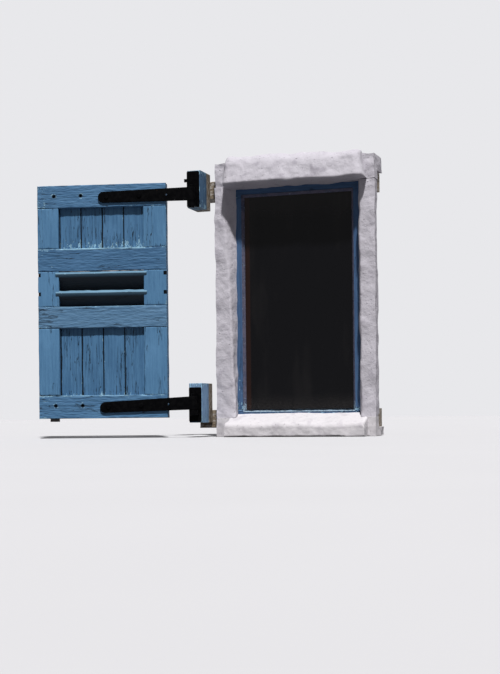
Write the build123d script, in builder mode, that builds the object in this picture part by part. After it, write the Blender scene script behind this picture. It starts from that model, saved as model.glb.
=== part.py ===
from math import cos, radians, sin
import os

from build123d import *

# A small fixed timber window in a plastered surround, with one ledged shutter.
# Millimetres. X runs to the right along the wall, Y into the wall, Z up.
# The origin is on the underside of the sill, at the middle of the window, in the wall's face.

# Opening: what shows of the frame between the plastered edges
opening_width = 406.0
opening_height = 728.0
opening_bottom = 72.0

# Timber frame
frame_setback = 40.0  # from the wall's face back to the frame
frame_depth = 70.0
member_width = 58.0
side_margin = 25.0  # timber and putty beside the glass
top_margin = 27.0
bottom_margin = 14.0
rebate_width = 8.0
rebate_depth = 16.0
right_horn = 20.0  # how far the head and the bottom member run past the right jamb
tenon_thickness = 16.0
tenon_inset = 12.0
tenon_length = 36.0
peg_radius = 5.0
fixing_hole_radius = 5.0
fixing_hole_heights = (250.0, 610.0)

# Glazing
glass_thickness = 4.0
glass_clearance = 2.0
putty_land = 1.0  # width of the putty's front edge, and its depth behind the timber face

# Lining boards inside the room
lining_thickness = 18.0
lining_depth = 135.0
board_nosing = 25.0

# Plaster
plaster_cover = 25.0  # plaster beside the wider splay
sill_left = -219.0
sill_right = 236.0
sill_projection = 60.0
sill_front_height = 39.0
sill_rounding = 5.0
hood_left = -222.0
hood_right = 238.0
hood_right_lean = 18.0
hood_left_lean = 6.0
hood_projection = 60.0
hood_left_height = 99.0
hood_right_height = 87.0
hood_slope = 20.0  # how far the front face leans back at its top
hood_rounding = 10.0
plaster_head_height = 80.0
left_splay_top = 34.0  # how far the plastered edge opens out at the wall's face
left_splay_bottom = -4.0
right_splay = 10.0
reveal_rounding = 7.0

# Hinge fittings: a pin on a plate, and a strap that turns on it
pin_x = -313.0
pin_radius = 6.0
pin_clearance = 0.08
pin_head_height = 3.0
pin_stand = 9.0  # pin above the eye
plate_width = 41.0
plate_thickness = 5.0
lug_radius = 13.5
lug_height = 17.0
eye_gap = 2.9  # eye to plate
eye_lift = 0.6  # eye to lug, enough for a strap that slopes down past the lug
strap_thickness = 6.0
strap_length = 300.0
strap_root = 43.0
strap_tip = 35.0
empty_hole_place = 79.0
empty_hole_radius = 3.5
strap_bolt_insets = (134.0, 28.0)  # from the tip
plate_tab_width = 9.0  # small tab on the upper plate's left edge
plate_tab_height = 10.0
plate_tab_drop = 29.0  # from the plate's top to the tab's middle
# For each hinge: middle of the strap at the pin and its drop to the tip, height of the old holes,
# foot and top of the plate, its screws below the top, and how far the block runs past it
hinges = {
    "upper": {
        "strap": 773.0,
        "drop": 4.0,
        "holes": 777.0,
        "foot": 734.0,
        "top": 849.0,
        "screws": (12.0, 38.0),
        "above": 3.0,
        "below": 0.0,
    },
    "lower": {
        "strap": 109.0,
        "drop": 12.0,
        "holes": 104.5,
        "foot": 48.0,
        "top": 159.0,
        "screws": (12.0, 101.0),
        "above": 13.0,
        "below": 2.0,
    },
}

# Timber blocks that carry the plates
block_width = 44.0
block_projection = 60.0
block_chamfer = 3.0

# Fasteners
plate_screw_radius = 2.5
plate_screw_head = 4.6
plate_screw_length = 38.0
plate_screw_spread = 11.0
coach_radius = 5.0
coach_head_radius = 9.0
coach_head_height = 7.0
coach_length = 112.0
coach_spread = 10.0
strap_bolt_radius = 4.0
strap_head_radius = 8.0
strap_head_height = 3.5
nut_radius = 8.0
nut_height = 6.5
bolt_end = 4.0
nail_radius = 1.5
nail_head_radius = 3.5
nail_head_height = 1.2
nail_length = 31.0

# Shutter
rest_angle = 12.0  # between the opened shutter and the wall
shutter_near = 82.0  # from the pin to the hinge-side edge
shutter_width = 418.0
shutter_bottom = 63.0
bottom_rail = 74.0
lower_panel = 216.0
lower_mid_rail = 69.0
louvre_height = 114.0
upper_mid_rail = 72.0
upper_panel = 131.0
top_rail = 72.0
ledge_thickness = 16.0
board_thickness = 20.0
board_count = 6
board_gap = 3.0
tongue_thickness = 6.0
tongue_length = 6.0
tongue_play = 1.0
free_stile = 68.0
hinge_stile = 73.0
edge_rounding = 2.0
old_hole_radius = 5.0
old_hole_places = (55.0, 143.0)  # from the free edge

# Louvre
slat_thickness = 15.0
slat_board = 70.0
slat_slope = 55.0
slat_housing = 10.0
slat_nose = 5.0
slat_drops = (0.3, 61.5)  # top of each slat below the upper middle rail
slat_room = 3.0
notch_width = 9.0
notch_height = 12.0
notch_drop = 5.0  # top of each notch below the top of its slat

# Block under the bottom rail
stop_place = 32.0
stop_width = 27.0
stop_height = 10.0

# Places that follow from the sizes
half_opening = opening_width / 2
opening_top = opening_bottom + opening_height
sight_x = half_opening - side_margin
sight_low = opening_bottom + bottom_margin
sight_high = opening_top - top_margin
jamb_outer = sight_x + member_width
head_top = sight_high + member_width
frame_low = sight_low - member_width
frame_front = frame_setback
frame_back = frame_setback + frame_depth
glass_back = frame_front + rebate_depth
glass_front = glass_back - glass_thickness
plaster_half_width = half_opening + max(left_splay_top, left_splay_bottom, right_splay) + plaster_cover
strap_bolt_places = [strap_length - inset for inset in strap_bolt_insets]
block_left = pin_x - block_width / 2
eye_radius = pin_radius + pin_clearance + strap_thickness
pin_y = -(block_projection + plate_thickness + eye_gap + eye_radius)
shutter_far = shutter_near + shutter_width
ledge_face = eye_radius - strap_thickness
board_face = ledge_face - ledge_thickness
shutter_back = board_face - board_thickness
bottom_rail_top = shutter_bottom + bottom_rail
lower_mid_low = bottom_rail_top + lower_panel
lower_mid_top = lower_mid_low + lower_mid_rail
upper_mid_low = lower_mid_top + louvre_height
upper_mid_top = upper_mid_low + upper_mid_rail
top_rail_low = upper_mid_top + upper_panel
shutter_top = top_rail_low + top_rail
sill_rise = (opening_bottom - sill_front_height) / (sill_projection + frame_setback)

turn = radians(rest_angle)
along = Vector(cos(turn), sin(turn), 0)  # from the free edge towards the pin
outward = Vector(sin(turn), -cos(turn), 0)
pin_foot = Vector(pin_x, pin_y, 0)

# The shutter's own planes: its face, its plan at a height, and its section at a distance
leaf = Plane(origin=pin_foot, x_dir=along, z_dir=outward)


def leaf_plan(height):
    """Plan of the shutter: X towards the hinge, Y towards the wall."""
    return Plane(origin=pin_foot + Vector(0, 0, height), x_dir=along, z_dir=(0, 0, 1))


def leaf_section(place):
    """Upright section of the shutter: X towards the wall, Y up."""
    return Plane(origin=pin_foot + along * place, x_dir=outward * -1, z_dir=along)


def from_free_edge(distance):
    return distance - shutter_far


def strap_middle(hinge, place):
    """Height of a strap's middle line at a distance from the pin."""
    return hinge["strap"] - hinge["drop"] * place / strap_length


def save(piece, name):
    piece.label = name
    export_step(piece, f"parts/{name}.step")


os.makedirs("parts", exist_ok=True)

# Fasteners come first, because what they hold is bored by them

peg_x = sight_x + tenon_inset + (member_width - 2 * tenon_inset) / 2
with BuildPart() as frame_pegs:
    for height in (sight_low - tenon_length / 2, sight_high + tenon_length / 2):
        with BuildSketch(Plane.XZ.offset(-frame_back)):
            with Locations((-peg_x, height), (peg_x, height)):
                Circle(peg_radius)
        extrude(amount=frame_depth)
save(frame_pegs.part, "frame_pegs")

with BuildPart() as block_bolts:
    upper_seat = (sight_high + head_top) / 2
    lower_seat = (max(frame_low, hinges["lower"]["foot"]) + sight_low) / 2
    for height in (upper_seat, lower_seat):
        for side in (-coach_spread, coach_spread):
            with BuildSketch(Plane.XZ.offset(-frame_back)):
                with Locations((pin_x + side, height)):
                    Circle(coach_radius)
            extrude(amount=coach_length)
            with BuildSketch(Plane.XZ.offset(-frame_back)):
                with Locations((pin_x + side, height)):
                    RegularPolygon(coach_head_radius, 6)
            extrude(amount=-coach_head_height)
save(block_bolts.part, "block_bolts")

plate_front = -(block_projection + plate_thickness)
with BuildPart() as plate_screws:
    for hinge in hinges.values():
        for drop in hinge["screws"]:
            for side in (-plate_screw_spread, plate_screw_spread):
                spot = (pin_x + side, plate_front, hinge["top"] - drop)
                with BuildSketch(Plane(origin=spot, z_dir=(0, 1, 0))):
                    Circle(plate_screw_radius)
                extrude(amount=plate_screw_length)
                with BuildSketch(Plane(origin=spot, z_dir=(0, 1, 0))):
                    Circle(plate_screw_head)
                extrude(amount=plate_screw_head - plate_screw_radius, taper=45)
save(plate_screws.part, "plate_screws")

bolt_reach = strap_thickness + ledge_thickness + board_thickness + nut_height + bolt_end
with BuildPart() as strap_bolts:
    for hinge in hinges.values():
        for place in strap_bolt_places:
            spot = (-place, strap_middle(hinge, place))
            with BuildSketch(leaf.offset(eye_radius)):
                with Locations(spot):
                    Circle(strap_bolt_radius)
            extrude(amount=-bolt_reach)
            with BuildSketch(leaf.offset(eye_radius)):
                with Locations(spot):
                    Circle(strap_head_radius)
            extrude(amount=strap_head_height, taper=35)
            with BuildSketch(leaf.offset(shutter_back)):
                with Locations(spot):
                    RegularPolygon(nut_radius, 6)
            extrude(amount=-nut_height)
save(strap_bolts.part, "strap_bolts")

board_pitch = shutter_width / board_count
rail_spans = {
    "bottom_rail": (shutter_bottom, bottom_rail_top),
    "lower_mid_rail": (lower_mid_low, lower_mid_top),
    "upper_mid_rail": (upper_mid_low, upper_mid_top),
    "top_rail": (top_rail_low, shutter_top),
}
stile_spans = {
    "low": (bottom_rail_top, lower_mid_low),
    "mid": (lower_mid_top, upper_mid_low),
    "top": (upper_mid_top, top_rail_low),
}

# One nail holds each board to each rail, and two hold each stile piece
slope = radians(slat_slope)
slat_fall = slat_thickness * cos(slope) + slat_board * sin(slope)
louvre_floor = upper_mid_low - max(slat_drops) - slat_fall - slat_room
louvre_roof = upper_mid_low + upper_mid_rail / 3
nail_spans = [
    rail_spans["bottom_rail"],
    (lower_mid_low, louvre_floor),
    (louvre_roof, upper_mid_top),
    rail_spans["top_rail"],
]
nail_spots = []
for low, high in nail_spans:
    for number in range(board_count):
        stagger = (high - low) / 4 * (1 if number % 2 else -1)
        nail_spots.append((from_free_edge((number + 0.38) * board_pitch), (low + high) / 2 + stagger))
for low, high in stile_spans.values():
    for place in (free_stile / 3, shutter_width - hinge_stile / 3):
        for share in (1 / 3, 2 / 3):
            nail_spots.append((from_free_edge(place), low + (high - low) * share))

with BuildPart() as nails:
    with BuildSketch(leaf.offset(shutter_back)):
        with Locations(*nail_spots):
            Circle(nail_radius)
    extrude(amount=nail_length)
    with BuildSketch(leaf.offset(shutter_back)):
        with Locations(*nail_spots):
            Circle(nail_head_radius)
    extrude(amount=-nail_head_height)
save(nails.part, "nails")

# Window frame

for side, name in ((-1, "jamb_left"), (1, "jamb_right")):
    with BuildPart() as jamb:
        with BuildSketch(Plane.XY.offset(sight_low)):
            with Locations((side * (sight_x + member_width / 2), frame_front + frame_depth / 2)):
                Rectangle(member_width, frame_depth)
            with Locations((side * (sight_x + rebate_width / 2), frame_front + rebate_depth / 2)):
                Rectangle(rebate_width, rebate_depth, mode=Mode.SUBTRACT)
        extrude(amount=sight_high - sight_low)
        with BuildSketch(Plane.XY.offset(sight_low - tenon_length)):
            with Locations((side * peg_x, frame_front + frame_depth / 2)):
                Rectangle(member_width - 2 * tenon_inset, tenon_thickness)
        extrude(amount=sight_high - sight_low + 2 * tenon_length)
        fixing_y = (glass_back + frame_back) / 2
        with BuildSketch(Plane.YZ.offset(side * (sight_x + member_width / 2))):
            with Locations(*[(fixing_y, height) for height in fixing_hole_heights]):
                Circle(fixing_hole_radius)
        extrude(amount=member_width, both=True, mode=Mode.SUBTRACT)
        add(frame_pegs.part, mode=Mode.SUBTRACT)
    save(jamb.part, name)
    if side < 0:
        jamb_left = jamb.part
    else:
        jamb_right = jamb.part

member_spans = {
    "frame_head": (sight_high, head_top, sight_high),
    "frame_bottom": (frame_low, sight_low, sight_low - rebate_width),
}
for name, (low, high, rebate_low) in member_spans.items():
    with BuildPart() as member:
        with BuildSketch(Plane.YZ.offset(block_left)):
            with Locations((frame_front + frame_depth / 2, (low + high) / 2)):
                Rectangle(frame_depth, high - low)
        extrude(amount=jamb_outer + right_horn - block_left)
        with BuildSketch(Plane.YZ.offset(-sight_x - rebate_width)):
            with Locations((frame_front + rebate_depth / 2, rebate_low + rebate_width / 2)):
                Rectangle(rebate_depth, rebate_width)
        extrude(amount=2 * (sight_x + rebate_width), mode=Mode.SUBTRACT)
        add(jamb_left, mode=Mode.SUBTRACT)
        add(jamb_right, mode=Mode.SUBTRACT)
        add(frame_pegs.part, mode=Mode.SUBTRACT)
        add(block_bolts.part, mode=Mode.SUBTRACT)
    save(member.part, name)

# Glazing

sight_width = 2 * sight_x
sight_height = sight_high - sight_low
sight_middle = (sight_high + sight_low) / 2
rebate_to_rebate = sight_width + 2 * rebate_width
with BuildPart() as glass_pane:
    with BuildSketch(Plane.XZ.offset(-glass_back)):
        with Locations((0, sight_middle)):
            Rectangle(
                rebate_to_rebate - 2 * glass_clearance,
                sight_height + 2 * rebate_width - 2 * glass_clearance,
            )
    extrude(amount=glass_thickness)
save(glass_pane.part, "glass_pane")

with BuildPart() as glazing_putty:
    with BuildSketch(Plane.XZ.offset(-glass_front)):
        with Locations((0, sight_middle)):
            Rectangle(rebate_to_rebate, sight_height + 2 * rebate_width)
    extrude(amount=glass_front - frame_front - putty_land)
    with BuildSketch(Plane.XZ.offset(-glass_front)):
        with Locations((0, sight_middle)):
            Rectangle(sight_width, sight_height)
    with BuildSketch(Plane.XZ.offset(-frame_front - putty_land)):
        with Locations((0, sight_middle)):
            Rectangle(rebate_to_rebate - 2 * putty_land, sight_height + 2 * (rebate_width - putty_land))
    loft(mode=Mode.SUBTRACT)
save(glazing_putty.part, "glazing_putty")

# Lining boards in the room

lining_outer = sight_x + lining_thickness
for side, name in ((-1, "lining_left"), (1, "lining_right")):
    with BuildPart() as lining:
        with BuildSketch(Plane.XY.offset(sight_low)):
            with Locations((side * (sight_x + lining_thickness / 2), frame_back + lining_depth / 2)):
                Rectangle(lining_thickness, lining_depth)
        extrude(amount=sight_height)
    save(lining.part, name)

with BuildPart() as lining_head:
    with BuildSketch(Plane.XY.offset(sight_high)):
        with Locations((0, frame_back + lining_depth / 2)):
            Rectangle(2 * lining_outer, lining_depth)
    extrude(amount=lining_thickness)
save(lining_head.part, "lining_head")

with BuildPart() as window_board:
    with BuildSketch(Plane.XY.offset(sight_low - lining_thickness)):
        with Locations((0, frame_back + (lining_depth + board_nosing) / 2)):
            Rectangle(2 * lining_outer, lining_depth + board_nosing)
    extrude(amount=lining_thickness)
    nose = window_board.edges().filter_by(Axis.X).group_by(Axis.Y)[-1]
    fillet(nose, lining_thickness / 3)
save(window_board.part, "window_board")

# Plaster sill, hood and reveals

with BuildPart() as sill:
    with BuildSketch(Plane.YZ.offset(-plaster_half_width)):
        Polygon(
            (0, 0),
            (frame_back, 0),
            (frame_back, frame_low),
            (frame_front, frame_low),
            (frame_front, opening_bottom),
            (0, sill_front_height + sill_rise * sill_projection),
            align=None,
        )
    extrude(amount=2 * plaster_half_width)
    with BuildSketch(Plane.YZ.offset(sill_left)):
        Polygon(
            (-sill_projection, 0),
            (0, 0),
            (0, sill_front_height + sill_rise * sill_projection),
            (-sill_projection, sill_front_height),
            align=None,
        )
    extrude(amount=sill_right - sill_left)
    front_edges = sill.faces().sort_by(Axis.Y)[0].edges()
    fillet(front_edges.filter_by(Axis.X).sort_by(Axis.Z)[-1], sill_rounding)
save(sill.part, "sill")

with BuildPart() as hood:
    with BuildSketch(Plane.YZ.offset(-plaster_half_width)):
        Polygon(
            (0, opening_top),
            (frame_front, opening_top),
            (frame_front, head_top),
            (frame_back, head_top),
            (frame_back, opening_top + plaster_head_height),
            (0, opening_top + plaster_head_height),
            align=None,
        )
    extrude(amount=2 * plaster_half_width)
    with BuildSketch(Plane.XZ) as hood_front:
        Polygon(
            (hood_left, opening_top),
            (hood_right, opening_top),
            (hood_right - hood_right_lean, opening_top + hood_right_height),
            (hood_left + hood_left_lean, opening_top + hood_left_height),
            align=None,
        )
    extrude(amount=hood_projection)
    with BuildSketch(Plane.YZ.offset(hood_left)):
        Polygon(
            (-hood_projection, opening_top),
            (-hood_projection, opening_top + hood_left_height),
            (-hood_projection + hood_slope, opening_top + hood_left_height),
            align=None,
        )
    extrude(amount=hood_right - hood_left, mode=Mode.SUBTRACT)
    lengthwise = hood.edges().filter_by(lambda e: abs(e.tangent_at(0.5).X) > 0.9)
    topmost = lengthwise.filter_by(lambda e: e.center().Z > opening_top + hood_right_height)
    upper_arris = topmost.sort_by(Axis.Y)[0]
    fillet(upper_arris, hood_rounding)
save(hood.part, "hood")

reveal_low = sill_front_height
for side, name, splay_low, splay_high in (
    (-1, "reveal_left", left_splay_bottom, left_splay_top),
    (1, "reveal_right", right_splay, right_splay),
):
    with BuildPart() as reveal:
        for height, splay in ((reveal_low, splay_low), (opening_top, splay_high)):
            with BuildSketch(Plane.XY.offset(height)):
                Polygon(
                    (side * plaster_half_width, 0),
                    (side * plaster_half_width, frame_front),
                    (side * half_opening, frame_front),
                    (side * (half_opening + splay), 0),
                    align=None,
                )
        loft()
        arris = reveal.faces().sort_by(Axis.Y)[0].edges().filter_by(lambda e: abs(e.tangent_at(0.5).Z) > 0.9)
        fillet(arris.sort_by(lambda e: abs(e.center().X))[0], reveal_rounding)
        add(sill.part, mode=Mode.SUBTRACT)
    save(reveal.part, name)

# Hinge blocks and fittings

for name, hinge in hinges.items():
    block_foot = hinge["foot"] - hinge["below"]
    block_height = hinge["top"] + hinge["above"] - block_foot
    with BuildPart() as block:
        with BuildSketch(Plane.XY.offset(block_foot)):
            with Locations((pin_x, (frame_front - block_projection) / 2)):
                Rectangle(block_width, block_projection + frame_front)
        extrude(amount=block_height)
        chamfer(block.faces().sort_by(Axis.Y)[0].edges(), block_chamfer)
        add(block_bolts.part, mode=Mode.SUBTRACT)
        add(plate_screws.part, mode=Mode.SUBTRACT)
    save(block.part, f"hinge_block_{name}")

    eye_low = hinge["strap"] - strap_root / 2
    lug_top = eye_low - eye_lift
    with BuildPart() as pin:
        with BuildSketch(Plane.XY.offset(lug_top - lug_height)):
            with Locations((pin_x, pin_y)):
                Circle(pin_radius)
        extrude(amount=lug_height + eye_lift + strap_root + pin_stand)
        chamfer(pin.edges().sort_by(Axis.Z)[-1], pin_radius / 4)
        with BuildSketch(Plane.XY.offset(lug_top - lug_height)):
            with Locations((pin_x, pin_y)):
                Circle(pin_radius * 1.5)
        extrude(amount=-pin_head_height)
    save(pin.part, f"hinge_pin_{name}")

    with BuildPart() as plate:
        with BuildSketch(Plane.XZ.offset(block_projection)):
            with Locations((pin_x, (hinge["foot"] + hinge["top"]) / 2)):
                RectangleRounded(plate_width, hinge["top"] - hinge["foot"], plate_thickness)
            if name == "upper":
                with Locations((pin_x - plate_width / 2, hinge["top"] - plate_tab_drop)):
                    Rectangle(2 * plate_tab_width, plate_tab_height)
        extrude(amount=plate_thickness)
        with BuildSketch(Plane.XY.offset(lug_top - lug_height)):
            with Locations((pin_x, pin_y)):
                Circle(lug_radius)
            with Locations((pin_x, (pin_y + plate_front) / 2)):
                Rectangle(2 * lug_radius, plate_front - pin_y)
        extrude(amount=lug_height)
        add(pin.part, mode=Mode.SUBTRACT)
        add(plate_screws.part, mode=Mode.SUBTRACT)
    save(plate.part, f"hinge_plate_{name}")

    with BuildPart() as strap:
        with BuildSketch(leaf.offset(eye_radius - strap_thickness)):
            with BuildLine():
                tip_centre = strap_length - strap_tip / 2
                tip_middle = strap_middle(hinge, tip_centre)
                Polyline(
                    (-tip_centre, tip_middle - strap_tip / 2),
                    (0, hinge["strap"] - strap_root / 2),
                    (0, hinge["strap"] + strap_root / 2),
                    (-tip_centre, tip_middle + strap_tip / 2),
                )
                ThreePointArc(
                    (-tip_centre, tip_middle + strap_tip / 2),
                    (-strap_length, tip_middle),
                    (-tip_centre, tip_middle - strap_tip / 2),
                )
            make_face()
            with Locations((-empty_hole_place, strap_middle(hinge, empty_hole_place))):
                Circle(empty_hole_radius, mode=Mode.SUBTRACT)
        extrude(amount=strap_thickness)
        with BuildSketch(leaf_plan(eye_low)):
            Circle(eye_radius)
        extrude(amount=strap_root)
        with BuildSketch(leaf_plan(eye_low)):
            Circle(pin_radius + pin_clearance)
        extrude(amount=strap_root, mode=Mode.SUBTRACT)
        add(strap_bolts.part, mode=Mode.SUBTRACT)
    save(strap.part, f"strap_{name}")

# Louvre slats, each sloping down towards the wall

slat_start = from_free_edge(free_stile - slat_housing)
slat_end = from_free_edge(shutter_width - hinge_stile + slat_housing)
run = Vector(cos(slope), -sin(slope))
edge = Vector(sin(slope), cos(slope))
slats = []
for number, drop in enumerate(slat_drops, start=1):
    nose = Vector(-(ledge_face + slat_nose), upper_mid_low - drop - slat_thickness * cos(slope))
    corners = [nose, nose + run * slat_board]
    corners += [corner + edge * slat_thickness for corner in reversed(corners)]
    with BuildPart() as slat:
        with BuildSketch(leaf_section(slat_start)):
            Polygon(*[(corner.X, corner.Y) for corner in corners], align=None)
        extrude(amount=slat_end - slat_start)
        fillet(slat.edges().filter_by(lambda e: e.length > slat_board * 2), edge_rounding)
    save(slat.part, f"slat_{number}")
    slats.append(slat.part)

# Boards behind the ledges: the outer two are whole, the others stop at the louvre

for number in range(board_count):
    whole = number in (0, board_count - 1)
    if whole:
        lengths = {"": (shutter_bottom, shutter_top)}
    else:
        lengths = {"_low": (shutter_bottom, louvre_floor), "_top": (louvre_roof, shutter_top)}
    first = from_free_edge(number * board_pitch) + (board_gap / 2 if number else 0)
    last = from_free_edge((number + 1) * board_pitch) - (board_gap / 2 if number < board_count - 1 else 0)
    middle = -(board_face + shutter_back) / 2
    for ending, (low, high) in lengths.items():
        with BuildPart() as board:
            with BuildSketch(leaf_plan(low)):
                with Locations(((first + last) / 2, middle)):
                    Rectangle(last - first, board_thickness)
                if number < board_count - 1:
                    with Locations((last + (board_gap + tongue_length) / 2, middle)):
                        Rectangle(board_gap + tongue_length, tongue_thickness)
                if number:
                    with Locations((first + (tongue_length + tongue_play) / 2, middle)):
                        Rectangle(
                            tongue_length + tongue_play,
                            tongue_thickness + tongue_play / 2,
                            mode=Mode.SUBTRACT,
                        )
            extrude(amount=high - low)
            if whole:
                for slat in slats:
                    add(slat, mode=Mode.SUBTRACT)
                if number == 0:
                    with BuildSketch(leaf_plan(louvre_floor)):
                        with Locations((last + (board_gap + tongue_length) / 2, middle)):
                            Rectangle(board_gap + tongue_length, tongue_thickness)
                    extrude(amount=louvre_roof - louvre_floor, mode=Mode.SUBTRACT)
            add(nails.part, mode=Mode.SUBTRACT)
            add(strap_bolts.part, mode=Mode.SUBTRACT)
        save(board.part, f"board_{number + 1}{ending}")

# Ledges: four rails of the full width, with stile pieces between them

old_hole_heights = {"bottom_rail": hinges["lower"]["holes"], "top_rail": hinges["upper"]["holes"]}
for name, (low, high) in rail_spans.items():
    with BuildPart() as rail:
        with BuildSketch(leaf.offset(board_face)):
            with Locations((from_free_edge(shutter_width / 2), (low + high) / 2)):
                Rectangle(shutter_width, high - low)
        extrude(amount=ledge_thickness)
        face_edges = rail.faces().filter_by(leaf).sort_by(lambda f: f.center().dot(outward))[-1].edges()
        fillet(face_edges, edge_rounding)
        hole_height = old_hole_heights.get(name)
        if hole_height:
            with BuildSketch(leaf.offset(board_face)):
                with Locations(*[(from_free_edge(place), hole_height) for place in old_hole_places]):
                    Circle(old_hole_radius)
            extrude(amount=ledge_thickness, mode=Mode.SUBTRACT)
        add(nails.part, mode=Mode.SUBTRACT)
        add(strap_bolts.part, mode=Mode.SUBTRACT)
    save(rail.part, name)

stile_sides = {"free": (0.0, free_stile), "hinge": (shutter_width - hinge_stile, shutter_width)}
for side, (first, last) in stile_sides.items():
    for height, (low, high) in stile_spans.items():
        with BuildPart() as stile:
            with BuildSketch(leaf.offset(board_face)):
                with Locations((from_free_edge((first + last) / 2), (low + high) / 2)):
                    Rectangle(last - first, high - low)
            extrude(amount=ledge_thickness)
            face_edges = stile.faces().filter_by(leaf).sort_by(lambda f: f.center().dot(outward))[-1].edges()
            fillet(face_edges, edge_rounding)
            if height == "mid":
                outer_edge = first if side == "free" else last
                inner = notch_width / 2 if side == "free" else -notch_width / 2
                for drop in slat_drops:
                    notch_top = upper_mid_low - drop - notch_drop
                    with BuildSketch(leaf.offset(board_face)):
                        with Locations((from_free_edge(outer_edge) + inner, notch_top - notch_height / 2)):
                            Rectangle(notch_width, notch_height)
                    extrude(amount=ledge_thickness, mode=Mode.SUBTRACT)
                for slat in slats:
                    add(slat, mode=Mode.SUBTRACT)
            add(nails.part, mode=Mode.SUBTRACT)
        save(stile.part, f"stile_{side}_{height}")

# Dark block under the free end of the bottom rail

with BuildPart() as stop_block:
    with BuildSketch(leaf_plan(shutter_bottom - stop_height)):
        with Locations((from_free_edge(stop_place + stop_width / 2), -(board_face + shutter_back) / 2)):
            Rectangle(stop_width, board_thickness)
    extrude(amount=stop_height)
    fillet(stop_block.edges().filter_by(Axis.Z), edge_rounding)
save(stop_block.part, "stop_block")
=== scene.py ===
from math import cos, pi, radians, sin

import bpy
import numpy as np
from mathutils import Euler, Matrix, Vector


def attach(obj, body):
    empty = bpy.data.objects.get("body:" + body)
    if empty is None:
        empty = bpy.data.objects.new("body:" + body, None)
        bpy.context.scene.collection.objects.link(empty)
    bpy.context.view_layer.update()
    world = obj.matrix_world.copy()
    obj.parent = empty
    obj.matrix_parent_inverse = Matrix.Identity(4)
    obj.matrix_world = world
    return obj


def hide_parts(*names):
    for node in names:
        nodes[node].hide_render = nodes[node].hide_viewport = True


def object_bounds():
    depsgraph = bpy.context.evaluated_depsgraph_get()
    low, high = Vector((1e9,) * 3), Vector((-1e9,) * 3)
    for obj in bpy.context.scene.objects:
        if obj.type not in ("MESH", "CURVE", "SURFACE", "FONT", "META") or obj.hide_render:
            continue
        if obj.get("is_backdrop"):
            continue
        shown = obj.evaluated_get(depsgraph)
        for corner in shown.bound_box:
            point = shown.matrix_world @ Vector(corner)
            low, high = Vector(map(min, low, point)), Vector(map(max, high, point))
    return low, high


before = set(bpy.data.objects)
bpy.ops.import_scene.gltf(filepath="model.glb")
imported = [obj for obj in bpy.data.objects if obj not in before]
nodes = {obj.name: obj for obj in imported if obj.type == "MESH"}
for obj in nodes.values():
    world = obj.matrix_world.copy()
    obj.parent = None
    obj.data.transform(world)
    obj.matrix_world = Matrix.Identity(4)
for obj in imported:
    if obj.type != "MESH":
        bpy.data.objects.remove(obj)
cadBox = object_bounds()
scene = bpy.context.scene
mm = 0.001
print("frame loaded,", len(nodes), "nodes")


# Noise on whole arrays: a repeatable number at each lattice corner, eased between corners

lattice = {
    "x": 73856093, "y": 19349663, "z": 83492791, "seed": 26544357, "stir": 1274126177, "mask": 0xFFFFFF,
    "nextLayer": 17,
}


def latticeValue(ix, iy, iz, seed):
    # a spatial hash of the corner and the seed, from 0 to 1
    mixed = (ix * lattice["x"]) ^ (iy * lattice["y"]) ^ (iz * lattice["z"]) ^ (seed * lattice["seed"])
    mixed = (mixed ^ (mixed >> 13)) * lattice["stir"]
    mixed = mixed ^ (mixed >> 16)
    return (mixed & lattice["mask"]) / float(lattice["mask"])


def valueNoise(x, y, z, seed):
    # trilinear blend of the eight corner values with t*t*(3-2t), from 0 to 1
    cell = [np.floor(v).astype(np.int64) for v in (x, y, z)]
    part = [v - c for v, c in zip((x, y, z), cell)]
    ease = [t * t * (3 - 2 * t) for t in part]
    total = 0
    for steps in np.ndindex(2, 2, 2):
        weight = 1
        for step, share in zip(steps, ease):
            weight = weight * (share if step else 1 - share)
        total = total + weight * latticeValue(*(c + step for c, step in zip(cell, steps)), seed)
    return total


def layeredNoise(x, y, z, seed, layers=3):
    # sum of octaves, each half as tall and twice as fine, centred on 0
    total, height = 0, 1.0
    for layer in range(layers):
        scale = 2.0 ** layer
        octave = valueNoise(x * scale, y * scale, z * scale, seed + lattice["nextLayer"] * layer)
        total = total + height * (octave - 0.5)
        height *= 0.5
    return total


# Surfaces; all lengths are in millimetres

grid = {"edgeShares": (0, 0.08, 0.25, 0.5, 0.75, 1.0), "leastStep": 0.02}


def stations(low, high, step, rounding, extra=()):
    # places along a side: fine near the rounded ends, even between, with any extra ones
    ease = rounding * np.array(grid["edgeShares"])
    count = max(2, int(round((high - low - 2 * rounding) / step)))
    even = np.linspace(low + rounding, high - rounding, count + 1)
    places = np.concatenate([low + ease, even, high - ease, np.array(extra, float)])
    places = np.unique(np.round(places[(places >= low) & (places <= high)], 4))
    keep = np.concatenate([[True], np.diff(places) > grid["leastStep"]])
    return places[keep]


def bullnose(distance, radius):
    # how far a face has dropped at a distance from its edge, for a quarter-round of that radius
    inside = np.clip(radius - distance, 0, radius)
    return radius - np.sqrt(np.maximum(radius ** 2 - inside ** 2, 0))


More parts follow.
